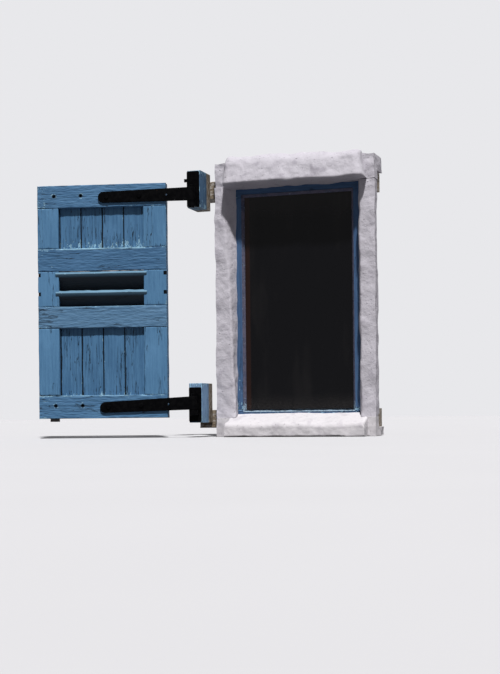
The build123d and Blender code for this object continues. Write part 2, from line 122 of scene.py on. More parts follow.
def slab(across, along, top, bottom, rows=1, opened=None):
    # Two height fields over one grid, top(a, l) and bottom(a, l), joined by walls with rows of their own.
    # opened(a, l) marks cells that are left out, so a hole or an opening gets walls too.
    a, l = np.meshgrid(across, along, indexing="ij")
    na, nl = a.shape
    keep = np.ones((na - 1, nl - 1), bool)
    if opened is not None:
        middle = [0.25 * (g[:-1, :-1] + g[1:, :-1] + g[:-1, 1:] + g[1:, 1:]) for g in (a, l)]
        keep = ~opened(*middle)
    index = np.arange(na * nl).reshape(na, nl)
    topPoints = np.stack([a, l, top(a, l) + 0 * a], -1).reshape(-1, 3)
    bottomPoints = np.stack([a, l, bottom(a, l) + 0 * a], -1).reshape(-1, 3)
    points = [topPoints, bottomPoints]
    points += [topPoints + (bottomPoints - topPoints) * row / rows for row in range(1, rows)]
    size = na * nl
    # where each level's points start: the top, the wall rows between, the bottom
    starts = [0] + [size * (row + 1) for row in range(1, rows)] + [size]
    corner = [index[:-1, :-1], index[1:, :-1], index[1:, 1:], index[:-1, 1:]]
    quads = [np.stack([c[keep] for c in corner], -1)]
    quads.append(np.stack([c[keep] + size for c in reversed(corner)], -1))
    padded = np.pad(keep, 1)
    neighbours = (padded[1:-1, :-2], padded[2:, 1:-1], padded[1:-1, 2:], padded[:-2, 1:-1])
    for side, neighbour in enumerate(neighbours):
        edge = keep & ~neighbour
        p, q = corner[side][edge], corner[(side + 1) % 4][edge]
        for upper, lower in zip(starts[:-1], starts[1:]):
            quads.append(np.stack([q + upper, p + upper, p + lower, q + lower], -1))
    faces = np.concatenate(quads)
    used, faces = np.unique(faces, return_inverse=True)
    return np.concatenate(points)[used], faces.reshape(-1, 4)


def joined(first, second):
    # two closed shells, each (points, faces), as one
    return np.concatenate([first[0], second[0]]), np.concatenate([first[1], second[1] + len(first[0])])


def placed(points, origin, acrossAxis, alongAxis, outAxis):
    # slab coordinates to the frame: origin + a * across + l * along + h * out
    axes = np.array([acrossAxis, alongAxis, outAxis], float)
    return np.array(origin, float) + points @ axes


def addPiece(name, points, faces, material, body, replaced, marks=None, sharp=40):
    mesh = bpy.data.meshes.new(name)
    mesh.vertices.add(len(points))
    mesh.vertices.foreach_set("co", (points * mm).astype(np.float32).ravel())
    mesh.loops.add(faces.size)
    mesh.loops.foreach_set("vertex_index", faces.astype(np.int32).ravel())
    mesh.polygons.add(len(faces))
    mesh.polygons.foreach_set("loop_start", np.arange(0, faces.size, 4, dtype=np.int32))
    mesh.update(calc_edges=True)
    mesh.shade_smooth()
    mesh.set_sharp_from_angle(angle=radians(sharp))
    for label, values in (marks or {}).items():
        kind, field = ("FLOAT_VECTOR", "vector") if values.ndim == 2 else ("FLOAT", "value")
        attribute = mesh.attributes.new(label, kind, "POINT")
        attribute.data.foreach_set(field, values.astype(np.float32).ravel())
    mesh.materials.append(material)
    piece = bpy.data.objects.new(name, mesh)
    scene.collection.objects.link(piece)
    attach(piece, body)
    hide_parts(*replaced)


# Shader maths as Python expressions

class Wire:
    def __init__(self, finish, socket):
        self.finish, self.socket = finish, socket

    def maths(self, operation, *others, swapped=False):
        values = list(others) + [self] if swapped else [self] + list(others)
        return self.finish.node("ShaderNodeMath", {"operation": operation}, dict(enumerate(values)))

    def __add__(self, other):
        return self.maths("ADD", other)

    def __mul__(self, other):
        return self.maths("MULTIPLY", other)

    def __sub__(self, other):
        return self.maths("SUBTRACT", other)

    def __rsub__(self, other):
        return self.maths("SUBTRACT", other, swapped=True)

    def __abs__(self):
        return self.maths("ABSOLUTE")

    __radd__ = __add__

    def ramped(self, low, high):
        # 0 below low, 1 above high, eased between
        return self.finish.node(
            "ShaderNodeMapRange", {"interpolation_type": "SMOOTHSTEP"},
            {"Value": self, "From Min": low, "From Max": high},
        )


class Finish:
    # the node tree of a material or of the world
    def __init__(self, holder):
        self.holder = holder
        holder.use_nodes = True
        self.tree = holder.node_tree
        self.tree.nodes.clear()

    def node(self, kind, settings=None, inputs=None, output=0):
        made = self.tree.nodes.new(kind)
        for key, value in (settings or {}).items():
            setattr(made, key, value)
        for key, value in (inputs or {}).items():
            socket = made.inputs[key]
            if isinstance(value, Wire):
                self.tree.links.new(value.socket, socket)
            elif isinstance(value, tuple) and len(value) == 3 and socket.type == "RGBA":
                socket.default_value = value + (1.0,)
            else:
                socket.default_value = value
        return Wire(self, made.outputs[output]) if made.outputs else None

    def place(self):
        return self.node("ShaderNodeTexCoord", output="Object")

    def mark(self, name, output="Fac"):
        return self.node("ShaderNodeAttribute", {"attribute_name": name}, output=output)

    def scaled(self, vector, scale):
        return self.node("ShaderNodeVectorMath", {"operation": "MULTIPLY"}, {0: vector, 1: scale})

    def noise(self, vector, scale, detail=3.0, roughness=0.5):
        inputs = {"Vector": vector, "Scale": scale, "Detail": detail, "Roughness": roughness}
        return self.node("ShaderNodeTexNoise", {}, inputs)

    def blend(self, first, second, factor):
        return self.node(
            "ShaderNodeMix", {"data_type": "RGBA"}, {0: factor, 6: first, 7: second}, output=2,
        )

    def bumped(self, height, distance, strength):
        return self.node("ShaderNodeBump", {}, {"Height": height, "Distance": distance, "Strength": strength})

    def seenDirectly(self):
        # 1 for what is seen, mirrored or looked at through glass, 0 for the light thrown on other things
        camera, glossy, through = (
            self.node("ShaderNodeLightPath", output="Is " + ray + " Ray")
            for ray in ("Camera", "Glossy", "Transmission")
        )
        return camera.maths("MAXIMUM", glossy).maths("MAXIMUM", through)

    def finished(self, inputs):
        shader = self.node("ShaderNodeBsdfPrincipled", {}, inputs)
        self.node("ShaderNodeOutputMaterial", {}, {"Surface": shader})
        return self.holder


def newFinish(name):
    return Finish(bpy.data.materials.new(name))


def shade(red, green, blue):
    # a colour read off as 0 to 255, made linear
    values = np.array([red, green, blue]) / 255.0
    linear = np.where(values <= 0.04045, values / 12.92, ((values + 0.055) / 1.055) ** 2.4)
    return tuple(float(v) for v in linear)


# Painted timber

def paintLook(paint, deep, crack, chip, ripple, raw=False):
    # raw: part of the piece is bare, where the wall or the room covers it
    return {"paint": shade(*paint), "deep": shade(*deep), "crack": crack, "chip": chip, "ripple": ripple,
            "raw": raw}


paintLooks = {
    "stile": paintLook((76, 117, 151), (58, 97, 132), crack=0.15, chip=0.34, ripple=0.5),
    "rail": paintLook((74, 113, 147), (48, 84, 118), crack=0.30, chip=0.38, ripple=1.3),
    "railDark": paintLook((64, 102, 136), (42, 77, 110), crack=0.30, chip=0.38, ripple=1.3),
    "railPale": paintLook((84, 119, 149), (60, 95, 126), crack=0.30, chip=0.38, ripple=1.3),
    "board": paintLook((68, 108, 142), (42, 78, 112), crack=0.85, chip=0.46, ripple=0.3),
    "slat": paintLook((98, 132, 153), (74, 104, 128), crack=0.2, chip=0.38, ripple=0.3),
    "blockUpper": paintLook((66, 96, 124), (38, 64, 92), crack=0.6, chip=0.72, ripple=0.4, raw=True),
    "blockLower": paintLook((114, 144, 176), (80, 110, 142), crack=0.6, chip=0.64, ripple=0.4, raw=True),
    "frame": paintLook((60, 88, 122), (42, 64, 96), crack=0.3, chip=0.42, ripple=0.3, raw=True),
}
bareColours = {
    "undercoatAndHighlight": shade(152, 194, 216), "timber": shade(52, 58, 66), "crack": shade(5, 14, 28),
    "shadeAndJoints": shade(2, 7, 17), "rawPale": shade(128, 116, 100), "rawDark": shade(92, 80, 66),
    "mortar": shade(170, 165, 160),
}
# cells per metre along and across the fibres, then detail and roughness
paintNoise = {
    "broad": (5.0, 9.0, 3.0, 0.5), "streak": (9.0, 170.0, 4.0, 0.65), "fibre": (26.0, 620.0, 2.0, 0.6),
    "ripple": (34.0, 150.0, 3.0, 0.55), "split": (5.5, 120.0, 3.0, 0.5), "patch": (7.0, 22.0, 2.0, 0.5),
    "flake": (60.0, 130.0, 4.0, 0.62),
}


def paintedTimber(name, look):
    # Marks on the mesh: grain is x along the fibres and y across them in metres, edge the distance to an
    # arris in centimetres, worn a share of extra flaking; the arris mark, dark and raw are shares of colours:
    # a painted highlight, painted shade together with the dark board joints, and bare wood.
    f = newFinish(name)
    grain = f.mark("grain", "Vector")
    edge = f.mark("edge")
    worn = f.mark("worn")
    broad, streak, fibre, ripple, split, patch, flake = (
        f.noise(f.scaled(grain, (along, across, across)), 1.0, detail, roughness)
        for along, across, detail, roughness in paintNoise.values()
    )
    # cracks lie where the split noise crosses its middle, within patches
    split = abs(split - 0.5)
    crackLevel = 0.62 - 0.2 * look["crack"]
    crack = (1.0 - split.ramped(0.003, 0.010)) * (patch + worn * 0.32).ramped(crackLevel, crackLevel + 0.04)
    nearEdge = 1.0 - edge.ramped(0.0, 0.35)
    chipAmount = flake + nearEdge * 0.16 + worn * 0.22
    chipLevel = 0.86 - 0.28 * look["chip"]
    chip = chipAmount.ramped(chipLevel, chipLevel + 0.03)
    bare = chipAmount.ramped(chipLevel + 0.07, chipLevel + 0.10)
    fading = streak.ramped(0.38, 0.66) * 0.55 + fibre.ramped(0.45, 0.75) * 0.25
    paint = f.blend(look["paint"], look["deep"], fading)
    # a paler copy of the paint: chalking in broad patches and near edges, and the painted highlight beside
    # cracks
    chalkAndHighlight = tuple(min(1.0, v * 1.22 + 0.012) for v in look["paint"])
    paint = f.blend(paint, chalkAndHighlight, broad.ramped(0.45, 0.72) * 0.45 + nearEdge * 0.25)
    # painted shade: darker paint in the hollows of the ripples, where the bump sinks
    paint = f.blend(paint, look["deep"], ripple.ramped(0.48, 0.62) * look["ripple"] * 0.24)
    flaked = f.blend(paint, bareColours["undercoatAndHighlight"], chip * 0.75)
    flaked = f.blend(flaked, bareColours["timber"], bare * 0.6)
    # painted highlight: a pale line beside each crack, on its lip
    crackHighlight = split.ramped(0.010, 0.016) * (1.0 - split.ramped(0.020, 0.030)) * patch.ramped(0.60, 0.66)
    flaked = f.blend(flaked, chalkAndHighlight, crackHighlight * 0.55)
    colour = f.blend(flaked, bareColours["crack"], crack * 0.95)
    height = streak * 0.7 + fibre * 0.25 - ripple * look["ripple"] * 1.5 - crack * 1.8 - chip * 0.4
    if look["raw"]:
        bareWood = f.blend(bareColours["rawPale"], bareColours["rawDark"], streak.ramped(0.4, 0.65))
        bareWood = f.blend(bareWood, bareColours["mortar"], flake.ramped(0.50, 0.60) * 0.7)
        colour = f.blend(colour, bareWood, f.mark("raw"))
    # painted highlight: the lit upper arris of the rails drawn pale
    colour = f.blend(colour, bareColours["undercoatAndHighlight"], f.mark("rubbed"))
    # painted shade in the louvre, the stiles' pockets and the old holes, and the dark joints between boards
    colour = f.blend(colour, bareColours["shadeAndJoints"], f.mark("dark"))
    return f.finished({
        "Base Color": colour,
        "Roughness": (0.56 + broad * 0.12 + chip * 0.2).maths("MINIMUM", 0.9),
        "Specular IOR Level": 0.22,
        "Normal": f.bumped(height, 0.0017, 0.9),
    })


def plaster(name, pale, weathered, tooth):
    # Lime-washed render: pale, greyer where weather has stained it, with trowel marks and a sandy tooth
    f = newFinish(name)
    place = f.place()
    broad = f.noise(place, 14.0, 4.0, 0.6)
    blotch = f.noise(place, 30.0, 2.0, 0.45)
    sand = f.noise(place, 330.0, 4.0, 0.7)
    trowel = f.noise(place, 62.0, 2.0, 0.5)
    pit = 1.0 - f.noise(place, 150.0, 2.0, 0.5).ramped(0.27, 0.32)
    speck = f.noise(place, 250.0, 3.0, 0.6).ramped(0.60, 0.70)
    stain = blotch.ramped(0.52, 0.68) * broad.ramped(0.40, 0.60)
    colour = f.blend(pale, weathered, stain * 0.7 + sand.ramped(0.5, 0.8) * 0.2)
    soiled = tuple(v * 0.55 for v in weathered)
    colour = f.blend(colour, soiled, (pit * 0.6 + speck * 0.28).maths("MINIMUM", 1.0))
    height = blotch * 1.7 + trowel * 0.9 + sand * 0.5 - pit * 0.6
    return f.finished({
        "Base Color": colour,
        "Roughness": 0.84 + blotch * 0.1,
        "Specular IOR Level": 0.2,
        "Normal": f.bumped(height, 0.0026 * tooth, 0.8),
    })


def ironBlack():
    f = newFinish("blackPaintedIron")
    place = f.place()
    dent = f.noise(place, 90.0, 3.0, 0.5)
    speck = f.noise(place, 320.0, 3.0, 0.6)
    rust = f.noise(place, 45.0, 5.0, 0.7).ramped(0.66, 0.74) * speck.ramped(0.45, 0.6)
    colour = f.blend(shade(3, 3, 4), shade(9, 9, 10), dent.ramped(0.4, 0.7))
    colour = f.blend(colour, shade(74, 46, 32), rust * 0.7)
    return f.finished({
        "Base Color": colour,
        "Roughness": 0.5 + speck * 0.18 + rust * 0.22,
        "Specular IOR Level": 0.02,
        "Normal": f.bumped(dent * 1.0 + speck * 0.3 + rust * 0.6, 0.0008, 0.7),
    })


def ironBare():
    f = newFinish("dullFasteners")
    place = f.place()
    speck = f.noise(place, 260.0, 4.0, 0.6)
    rust = f.noise(place, 70.0, 4.0, 0.65).ramped(0.45, 0.65)
    colour = f.blend(shade(70, 68, 66), shade(96, 60, 40), rust * 0.8)
    return f.finished({
        "Base Color": colour,
        "Metallic": 0.6 - rust * 0.5,
        "Roughness": 0.5 + rust * 0.3 + speck * 0.1,
        "Normal": f.bumped(speck + rust, 0.0004, 0.6),
    })


def plainTimber(name, pale, dark, grainScale=(9.0, 9.0, 1.0)):
    # Unpainted timber on Object coordinates: figure and fibres stretched along the piece's length
    f = newFinish(name)
    place = f.scaled(f.place(), grainScale)
    figure = f.noise(place, 9.0, 4.0, 0.6)
    fibre = f.noise(place, 70.0, 3.0, 0.6)
    colour = f.blend(pale, dark, figure.ramped(0.35, 0.68) * 0.7 + fibre.ramped(0.5, 0.75) * 0.3)
    return f.finished({
        "Base Color": colour,
        "Roughness": 0.62 + fibre * 0.2,
        "Normal": f.bumped(figure * 0.6 + fibre * 0.5, 0.0007, 0.7),
    })


def puttyPaint():
    # Old glazing putty: painted blue, cracked across and crumbling to bare chalk in places
    f = newFinish("glazingPutty")
    place = f.place()
    worn = f.mark("worn")
    broad = f.noise(place, 22.0, 4.0, 0.6)
    crumb = f.noise(place, 190.0, 4.0, 0.65)
    cells = {"Vector": place, "Scale": 95.0}
    crack = 1.0 - f.node("ShaderNodeTexVoronoi", {"feature": "DISTANCE_TO_EDGE"}, cells).ramped(0.01, 0.05)
    chip = (crumb + broad * 0.35 + worn * 0.30).ramped(0.80, 0.84)
    colour = f.blend(shade(90, 88, 106), shade(66, 70, 92), broad.ramped(0.4, 0.65))
    colour = f.blend(colour, shade(140, 162, 178), chip * 0.8)
    colour = f.blend(colour, shade(24, 30, 42), crack * 0.45)
    return f.finished({
        "Base Color": colour,
        "Roughness": 0.6 + crumb * 0.2,
        "Specular IOR Level": 0.3,
        "Normal": f.bumped(crumb * 0.7 - crack * 0.5 - chip * 0.8, 0.0012, 0.8),
    })


# metres: where the dust at the foot ends, where the painted reflection at the head begins, where the lining
# shows through
paneLook = {"foot": (0.10, 0.17), "head": (0.70, 0.78), "lining": (-0.162, -0.158)}


def darkGlass():
    # Old pane, near black as painted shade for the unlit room behind it, with dust thick at the foot, faint
    # wiping marks and a faint painted reflection at the head
    f = newFinish("windowGlass")
    place = f.place()
    height, across = (f.node("ShaderNodeSeparateXYZ", {}, {0: place}, output=axis) for axis in "ZX")
    wipe = f.noise(f.scaled(place, (14.0, 14.0, 3.0)), 1.0, 3.0, 0.55)
    dust = f.noise(place, 420.0, 3.0, 0.6)
    foot = 1.0 - (height + wipe * 0.05).ramped(*paneLook["foot"])
    # painted reflection: a faint pale band at the head of the pane
    head = (height + wipe * 0.03).ramped(*paneLook["head"])
    # one share for the dust, the wiping marks and the painted reflection at the head
    dustAndReflection = foot * dust.ramped(0.35, 0.80) * 0.20 + wipe.ramped(0.5, 0.7) * 0.02 + head * 0.05
    lining = 1.0 - (across + wipe * 0.004).ramped(*paneLook["lining"])
    colour = f.blend(shade(9, 9, 12), shade(36, 20, 16), lining * 0.9)
    colour = f.blend(colour, shade(120, 114, 110), dustAndReflection)
    return f.finished({
        "Base Color": colour,
        "Roughness": 0.10 + dustAndReflection * 0.9,
        "Specular IOR Level": 0.09,
        "Alpha": (dustAndReflection * 0.08 + 0.985).maths("MINIMUM", 1.0),
        "Normal": f.bumped(wipe, 0.0004, 0.25),
    })


finishes = {key: paintedTimber(key + "Paint", look) for key, look in paintLooks.items()}
finishes.update({
    "plaster": plaster("limewashedPlaster", shade(184, 180, 187), shade(158, 153, 162), 1.0),
    "sillPlaster": plaster("trowelledSill", shade(196, 192, 195), shade(178, 173, 178), 0.6),
    "iron": ironBlack(),
    "fastener": ironBare(),
    "lining": plainTimber("liningTimber", shade(74, 54, 46), shade(40, 30, 27), (1.0, 9.0, 1.0)),
    "raw": plainTimber("rawTimber", shade(150, 130, 104), shade(104, 84, 62)),
    # painted shade: the stop block's timber is near black for the deep shade it sits in
    "dark": plainTimber("nearBlackShadeTimber", shade(34, 30, 28), shade(16, 14, 14)),
    "putty": puttyPaint(),
    "glass": darkGlass(),
})
print("finishes made")


# Shutter, in its own axes: a towards the hinge, l up, h towards the viewer

shutter = {
    "pinX": -313.0, "pinY": -79.98, "restAngle": 12.0,
    "far": 500.0, "width": 418.0, "foot": 63.0, "head": 811.0,
    "ledgeFace": 6.08, "boardFace": -9.92, "back": -29.92,
}
turn = radians(shutter["restAngle"])
leafAlong = np.array([cos(turn), sin(turn), 0.0])
leafOut = np.array([sin(turn), -cos(turn), 0.0])
pinFoot = np.array([shutter["pinX"], shutter["pinY"], 0.0])
up = np.array([0.0, 0.0, 1.0])


def onLeaf(points):
    return placed(points, pinFoot, leafAlong, up, leafOut)


def fromFree(distance):
    # a place across the leaf, given its distance from the free edge
    return distance - shutter["far"]


timber = {
    "rounding": 2.4, "backRounding": 0.6, "lipWaver": 1.4, "relief": 0.5, "ripple": 0.8, "sideWaver": 1.0,
    "tongueInset": 8.0, "wornReach": 28.0,
}


def plank(a0, a1, l0, l1, face, back, grainAlongA, seed, step=(3.0, 3.0), relief=1.0, rows=4,
          rounding=None, opened=None, extraA=(), extraL=(), tongue=0.0, wornEnds=(0.0, 0.0)):
    # A board or rail: face height = face - quarter-round at the arris + fibres' relief + slow waver.
    # A tongue beyond a1 is thinner than the board; wornEnds is the extra wear at l0 and at l1.
    radius = timber["rounding"] if rounding is None else rounding
    across = stations(a0, a1, step[0], radius, extraA)
    along = stations(l0, l1, step[1], radius, extraL)
    if tongue:
        across = np.concatenate([across, [a1 + 0.05, a1 + tongue]])

    def fromSide(a):
        return np.minimum(a - a0, a1 - a)

    def fieldEdge(a, l):
        return np.maximum(np.minimum(fromSide(a), np.minimum(l - l0, l1 - l)), 0)

    def fibres(a, l):
        x, y = (a, l) if grainAlongA else (l, a)
        waver = layeredNoise(x / 90, y / 22, 0 * x, seed, 2) * timber["ripple"]
        fine = layeredNoise(x / 40, y / 3.4, 0 * x, seed + 5, 2) * timber["relief"]
        return (waver + fine) * relief

    def top(a, l):
        edge = fieldEdge(a, l)
        local = radius * (1 + timber["lipWaver"] * layeredNoise(a / 26, l / 26, 0 * a, seed + 9, 2))
        height = face - bullnose(edge, np.maximum(local, 0.4)) + fibres(a, l) * np.clip(edge / 2, 0, 1)
        return np.where(a > a1 + 0.01, face - timber["tongueInset"], height)

    def bottom(a, l):
        height = back + bullnose(fieldEdge(a, l), radius * timber["backRounding"]) + 0.4 * fibres(a + 500, l)
        return np.where(a > a1 + 0.01, back + timber["tongueInset"], height)

    points, faces = slab(across, along, top, bottom, rows, opened)
    a, l, h = points.T.copy()
    side = layeredNoise(a / 30, l / 30, h / 12, seed + 3, 2) * timber["sideWaver"] * relief
    edge = np.maximum(fieldEdge(a, l), np.minimum(np.abs(h - face), np.abs(h - back)))
    edge = np.where(edge < 0.01, 0.0, edge)
    wornLow = wornEnds[0] * np.clip(1 - (l - l0) / timber["wornReach"], 0, 1)
    wornHigh = wornEnds[1] * np.clip(1 - (l1 - l) / timber["wornReach"], 0, 1)
    # shifted so that no two pieces show the same paint
    x, y = (a, l) if grainAlongA else (l, a)
    grain = np.stack([x * mm + seed * 3.7, y * mm + seed * 1.3, h * mm], -1)
    marks = {"grain": grain, "edge": edge * 0.1, "worn": wornLow + wornHigh}
    points[:, 0] += np.where((fromSide(a) < 0.01) & (tongue == 0), side, 0)
    return points, faces, marks


def inHoles(a, l, holes):
    # whether a place is inside any of the holes, each (a, l, radius)
    inside = np.zeros(a.shape, bool)
    for holeA, holeL, radius in holes:
        inside |= (a - holeA) ** 2 + (l - holeL) ** 2 < radius ** 2
    return inside


def holeStations(centre, radius):
    return centre + radius * np.array([-1.0, -0.8, -0.5, -0.17, 0.17, 0.5, 0.8, 1.0])


def snapToHoles(points, holes):
    # pulls the hole walls' points onto the true circle
    for holeA, holeL, radius in holes:
        centre = np.array([holeA, holeL])
        offset = points[:, :2] - centre
        distance = np.linalg.norm(offset, axis=1)
        near = (distance > radius * 0.6) & (distance < radius * 1.28)
        points[near, :2] = centre + offset[near] * (radius / distance[near])[:, None]
    return points


# the arris share is a painted highlight, how pale the lit upper arris is drawn; freeEnd the extra wear
# towards the shutter's free edge
rails = {
    "bottomRail": {"node": "bottom_rail", "low": 63.0, "high": 137.0, "holes": 104.5, "seed": 1,
                   "worn": (0.1, 0.5), "rubbed": 0.35, "freeEnd": 0.6, "finish": "rail"},
    "lowerMidRail": {"node": "lower_mid_rail", "low": 353.0, "high": 422.0, "holes": None, "seed": 2,
                     "worn": (0.2, 0.2), "rubbed": 0.2, "freeEnd": 0.45, "finish": "railPale"},
    "upperMidRail": {"node": "upper_mid_rail", "low": 536.0, "high": 608.0, "holes": None, "seed": 3,
                     "worn": (0.1, 0.5), "rubbed": 0.85, "freeEnd": 0.45, "finish": "railDark"},
    "topRail": {"node": "top_rail", "low": 739.0, "high": 811.0, "holes": 777.0, "seed": 4,
                "worn": (0.2, 0.1), "rubbed": 0.0, "freeEnd": 0.7, "finish": "rail"},
}
oldHoles = {"radius": 5.0, "places": (55.0, 143.0), "rimWear": 1.3, "rimMiddle": 3.0, "rimReach": 3.5}
freeEndReach = 85.0
arrisHighlightPatches = {"first": 62.0, "last": 350.0, "height": 4.6, "fade": 2.0, "patch": 16.0, "seed": 60}
for name, rail in rails.items():
    places = oldHoles["places"] if rail["holes"] else ()
    holes = [(fromFree(place), rail["holes"], oldHoles["radius"]) for place in places]
    points, faces, marks = plank(
        fromFree(0), fromFree(shutter["width"]), rail["low"], rail["high"], shutter["ledgeFace"],
        shutter["boardFace"], True, rail["seed"], (3.0, 1.9), wornEnds=rail["worn"],
        opened=lambda a, l: inHoles(a, l, holes),
        extraA=[place for hole in holes for place in holeStations(hole[0], hole[2])],
        extraL=[place for hole in holes for place in holeStations(hole[1], hole[2])],
    )
    points = snapToHoles(points, holes)
    fromLeft = points[:, 0] - fromFree(0)
    marks["worn"] += rail["freeEnd"] * np.clip(1 - fromLeft / freeEndReach, 0, 1)
    # painted highlight: the lit upper arris over the panels is drawn pale, more in some places than in others
    flat = 0 * fromLeft
    seed = arrisHighlightPatches["seed"] + rail["seed"]
    patchy = 0.75 + 1.1 * layeredNoise(fromLeft / arrisHighlightPatches["patch"], flat, flat, seed, 2)
    onArris = np.clip((points[:, 1] - rail["high"] + arrisHighlightPatches["height"]) / arrisHighlightPatches["fade"], 0, 1)
    overPanels = (fromLeft > arrisHighlightPatches["first"]) & (fromLeft < arrisHighlightPatches["last"])
    marks["rubbed"] = rail["rubbed"] * onArris * np.clip(patchy, 0, 1) * overPanels
    marks["dark"] = np.zeros(len(points))
    for holeA, holeL, radius in holes:
        away = np.hypot(points[:, 0] - holeA, points[:, 1] - holeL) - radius
        rim = np.clip(1 - np.abs(away - oldHoles["rimMiddle"]) / oldHoles["rimReach"], 0, 1)
        marks["worn"] += oldHoles["rimWear"] * rim
        # painted shade inside each old hole and on its inner rim
        marks["dark"] = np.maximum(marks["dark"], np.clip(1.6 - away / 1.2, 0, 1))
    addPiece(name, onLeaf(points), faces, finishes[rail["finish"]], "shutter", [rail["node"]],
             marks)

stiles = {
    "low": {"low": 137.0, "high": 353.0, "seed": 11},
    "mid": {"low": 422.0, "high": 536.0, "seed": 21},
    "top": {"low": 608.0, "high": 739.0, "seed": 31},
}
stileSides = {"free": (0.0, 68.0), "hinge": (345.0, 418.0)}
stileFit = {"endGap": 0.7, "setBack": 0.9}
notch = {"width": 9.0, "height": 12.0, "depth": 8.0, "tops": (530.7, 469.5)}
for height, stile in stiles.items():
    for side, (first, last) in stileSides.items():
        outer, inward = (fromFree(0), 1) if side == "free" else (fromFree(shutter["width"]), -1)
        extraA, extraL = (), ()
        if height == "mid":
            inner = outer + inward * notch["width"]
            extraA = [inner, inner + inward * 0.2]
            edges = [top - drop for top in notch["tops"] for drop in (0, notch["height"])]
            extraL = [edge + lean for edge in edges for lean in (-0.2, 0)]
        points, faces, marks = plank(
            fromFree(first), fromFree(last), stile["low"] + stileFit["endGap"],
            stile["high"] - stileFit["endGap"], shutter["ledgeFace"] - stileFit["setBack"],
            shutter["boardFace"], False, stile["seed"] + (side == "free"), (2.4, 3.0), 0.8,
            extraA=extraA, extraL=extraL, wornEnds=(0.5, 0.2),
        )
        inPocket = np.zeros(len(points), bool)
        if height == "mid":
            # two pockets at the outer edge, with painted shade inside them
            for top in notch["tops"]:
                inPocket |= (points[:, 1] < top - 0.1) & (points[:, 1] > top - notch["height"] - 0.1)
            inPocket &= np.abs(points[:, 0] - outer) < notch["width"] + 0.1
            points[inPocket, 2] = np.minimum(points[inPocket, 2], shutter["ledgeFace"] - notch["depth"])
        marks["dark"] = inPocket.astype(float)
        addPiece("stile" + side.capitalize() + height.capitalize(), onLeaf(points), faces, finishes["stile"],
                 "shutter", [f"stile_{side}_{height}"], marks)

slats = {
    "thickness": 15.0, "board": 70.0, "slope": 55.0, "nose": 5.0, "drops": (0.3, 61.5), "start": 58.0,
    "end": 355.0, "seed": 70, "shade": 0.97,
}
boards = {"count": 6, "gap": 3.0, "louvreFloor": 405.556, "louvreRoof": 560.0, "seed": 41, "jointEdge": 0.4}
flaking = (
    {"foot": rails["bottomRail"]["high"], "reach": 32.0, "amount": 0.8},
    {"foot": rails["upperMidRail"]["high"], "reach": 62.0, "amount": 1.15},
)
pitch = shutter["width"] / boards["count"]
foot, head = shutter["foot"], shutter["head"]
louvreFloor, louvreRoof = boards["louvreFloor"], boards["louvreRoof"]
for number in range(boards["count"]):
    isFirst, isLast = number == 0, number == boards["count"] - 1
    whole = isFirst or isLast
    first = fromFree(number * pitch) + (0 if isFirst else boards["gap"] / 2)
    last = fromFree((number + 1) * pitch) - (0 if isLast else boards["gap"] / 2)
    spans = {"": (foot, head)} if whole else {"_low": (foot, louvreFloor), "_top": (louvreRoof, head)}
    slatEdge = fromFree(slats["start"] if isFirst else slats["end"])

    def underSlats(a, l):
        # a whole board is cut back where the louvre's ends reach over it
        inward = a > slatEdge if isFirst else a < slatEdge
        return inward & (l > louvreFloor) & (l < louvreRoof)

    for ending, (low, high) in spans.items():
        points, faces, marks = plank(
            first, last, low, high, shutter["boardFace"], shutter["back"], False,
            boards["seed"] + number * 3 + len(ending), (2.3, 3.4), 1.7,
            opened=underSlats if whole else None, extraA=[slatEdge] if whole else (),
            extraL=[louvreFloor, louvreRoof] if whole else (), tongue=0.0 if isLast else boards["gap"] - 0.1,
        )
        # flaking at the foot of each panel, reaching higher towards the hinge
        towardsHinge = 0.5 + 0.5 * (points[:, 0] - fromFree(0)) / shutter["width"]
        onFace = points[:, 2] > shutter["boardFace"] - 4
        for flakes in flaking:
            rise = points[:, 1] - flakes["foot"]
            fading = np.clip(1 - rise / (flakes["reach"] * towardsHinge), 0, 1)
            marks["worn"] += flakes["amount"] * fading * (rise > -2) * onFace
        atFirst = (points[:, 0] < first + boards["jointEdge"]) & (not isFirst)
        atLast = (points[:, 0] > last - boards["jointEdge"]) & (not isLast)
        marks["dark"] = (atFirst | atLast).astype(float)
        addPiece("board" + str(number + 1) + ending.replace("_", "").capitalize(), onLeaf(points), faces,
                 finishes["board"], "shutter", [f"board_{number + 1}{ending}"], marks)
print("boards, rails and stiles made")

# the slats' axes: along the leaf, back and down with the slope, and square to both
tilt = radians(slats["slope"])
slatRun = -leafOut * cos(tilt) - up * sin(tilt)
slatUp = -leafOut * sin(tilt) + up * cos(tilt)
for number, drop in enumerate(slats["drops"], start=1):
    noseFoot = rails["upperMidRail"]["low"] - drop - slats["thickness"] * cos(tilt)
    corner = pinFoot + leafOut * (shutter["ledgeFace"] + slats["nose"]) + up * noseFoot
    points, faces, marks = plank(
        fromFree(slats["start"]), fromFree(slats["end"]), 0.0, slats["board"], slats["thickness"], 0.0,
        True, slats["seed"] + number, (4.0, 3.0), 1.2, 7, rounding=3.0, wornEnds=(0.2, 0.0),
    )
    # painted shade: dark behind the nose on the faces seen from the front, standing in for the deep shade
    # there
    behindNose = np.clip((points[:, 1] - 4) / 10, 0, 1)
    facingFront = np.clip((10 - points[:, 2]) / 4, 0, 1)
    marks["dark"] = slats["shade"] * behindNose * facingFront
    points = placed(points, corner, leafAlong, slatRun, slatUp)
    addPiece(f"slat{number}", points, faces, finishes["slat"], "shutter", [f"slat_{number}"],
             marks)

# Straps: a bar tapering to a round tip, its root rolled round the pin

